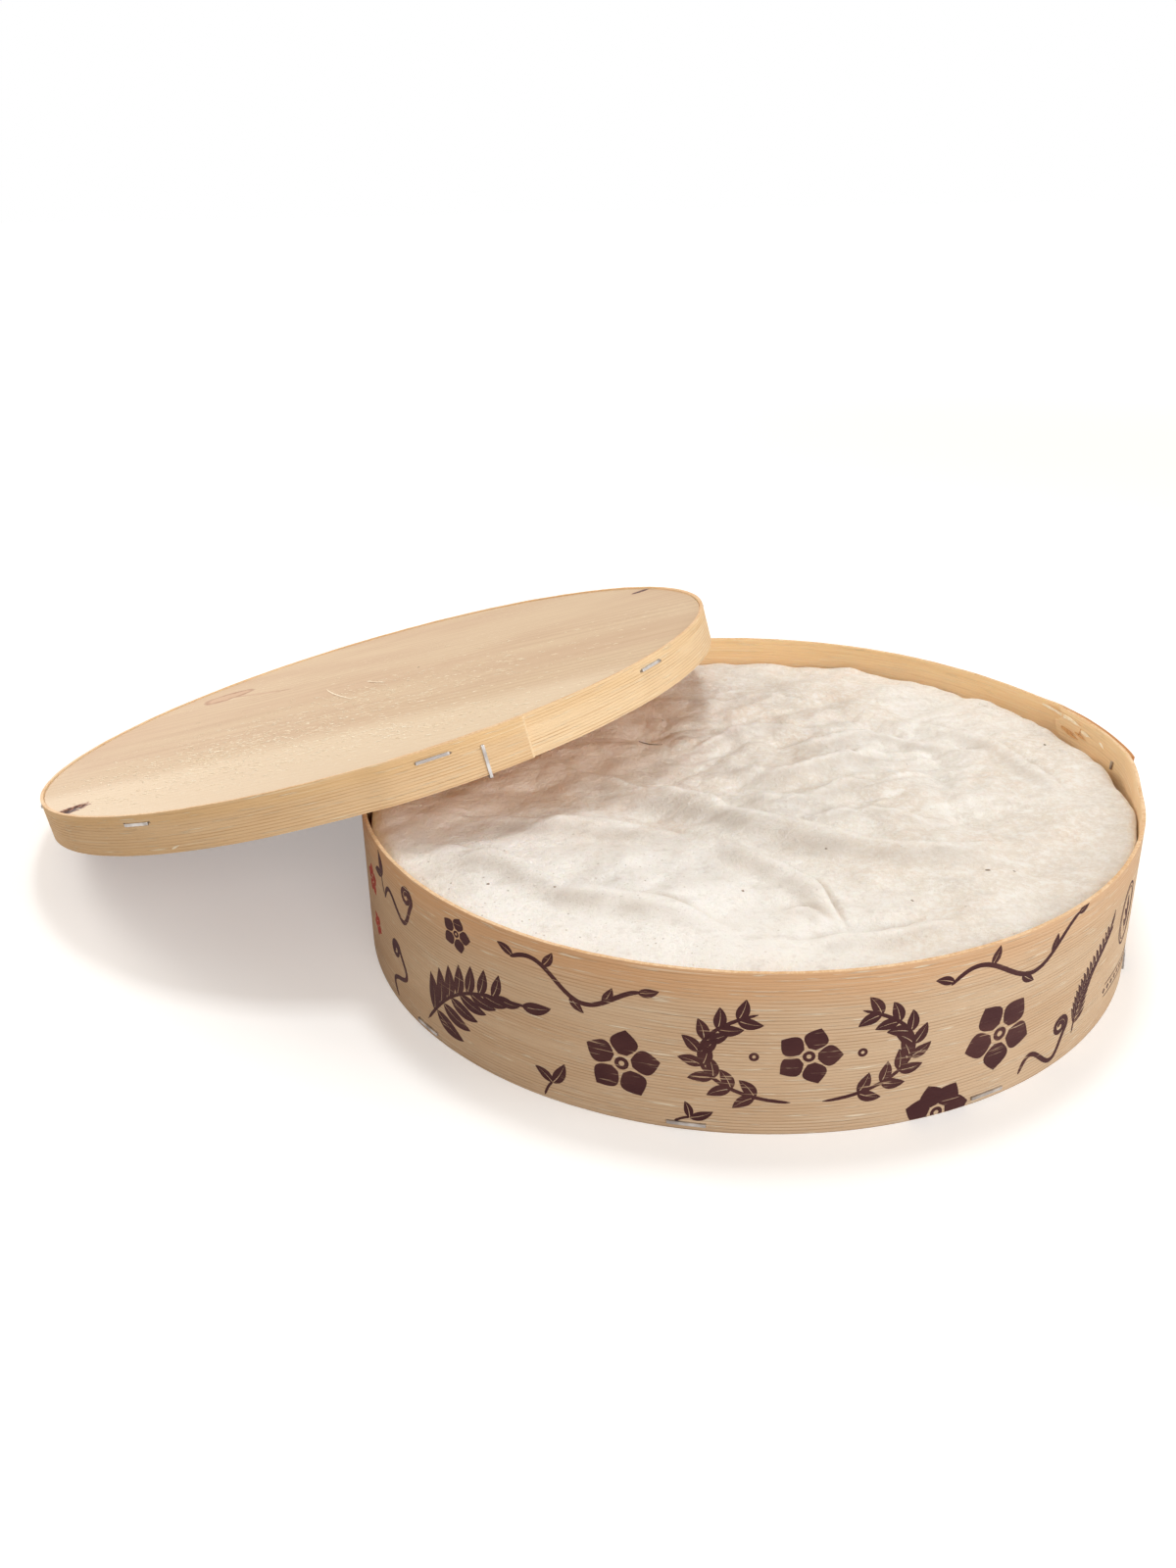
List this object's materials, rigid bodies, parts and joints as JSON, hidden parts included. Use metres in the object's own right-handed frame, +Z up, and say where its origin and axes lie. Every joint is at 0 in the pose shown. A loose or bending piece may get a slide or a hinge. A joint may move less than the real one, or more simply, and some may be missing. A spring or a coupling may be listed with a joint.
{
  "type": "round wooden cheese box",
  "caption": "Round bent-spruce cheese box with stapled hoops and boards, holding a soft cheese with a wrinkled white rind, its shallow lid leaning on the rim.",
  "frame": {"origin": "centre of the box's underside, on the table", "axes": "+Z up; the lid leans on the rim towards 147.7 degrees anticlockwise from +X, seen from above; -Y is the side that faces the viewer"},
  "size_m": [0.4623, 0.4017, 0.1015],
  "materials": {
    "spruce_board": "sawn, unfinished, with knots",
    "spruce_veneer": "sliced veneer, unfinished, with a dark brown print on the box",
    "spruce_bast": "damp inner bark",
    "cheese_rind": "soft, matt, wrinkled",
    "staple_wire": "galvanised flat wire"
  },
  "bodies": {
    "box": {"base_board": "spruce_board", "box_hoop": "spruce_veneer", "cheese_strap": "spruce_bast", "cheese": "cheese_rind", "base_staple_1": "staple_wire", "base_staple_2": "staple_wire", "base_staple_3": "staple_wire", "base_staple_4": "staple_wire", "base_staple_5": "staple_wire", "base_staple_6": "staple_wire", "base_staple_7": "staple_wire", "base_staple_8": "staple_wire", "base_staple_9": "staple_wire", "seam_staple_1": "staple_wire", "seam_staple_2": "staple_wire"},
    "lid": {"lid_board": "spruce_board", "lid_hoop": "spruce_veneer", "lid_staple_1": "staple_wire", "lid_staple_2": "staple_wire", "lid_staple_3": "staple_wire", "lid_staple_4": "staple_wire", "lid_staple_5": "staple_wire", "lid_staple_6": "staple_wire", "lid_staple_7": "staple_wire", "lid_staple_8": "staple_wire", "lid_staple_9": "staple_wire", "lid_seam_staple": "staple_wire"}
  },
  "joints": [
    {"name": "lid_lift", "type": "slide", "parent": "box", "child": "lid", "axis": [0, 0, 1], "range_m": [0, 0.12]}
  ]
}
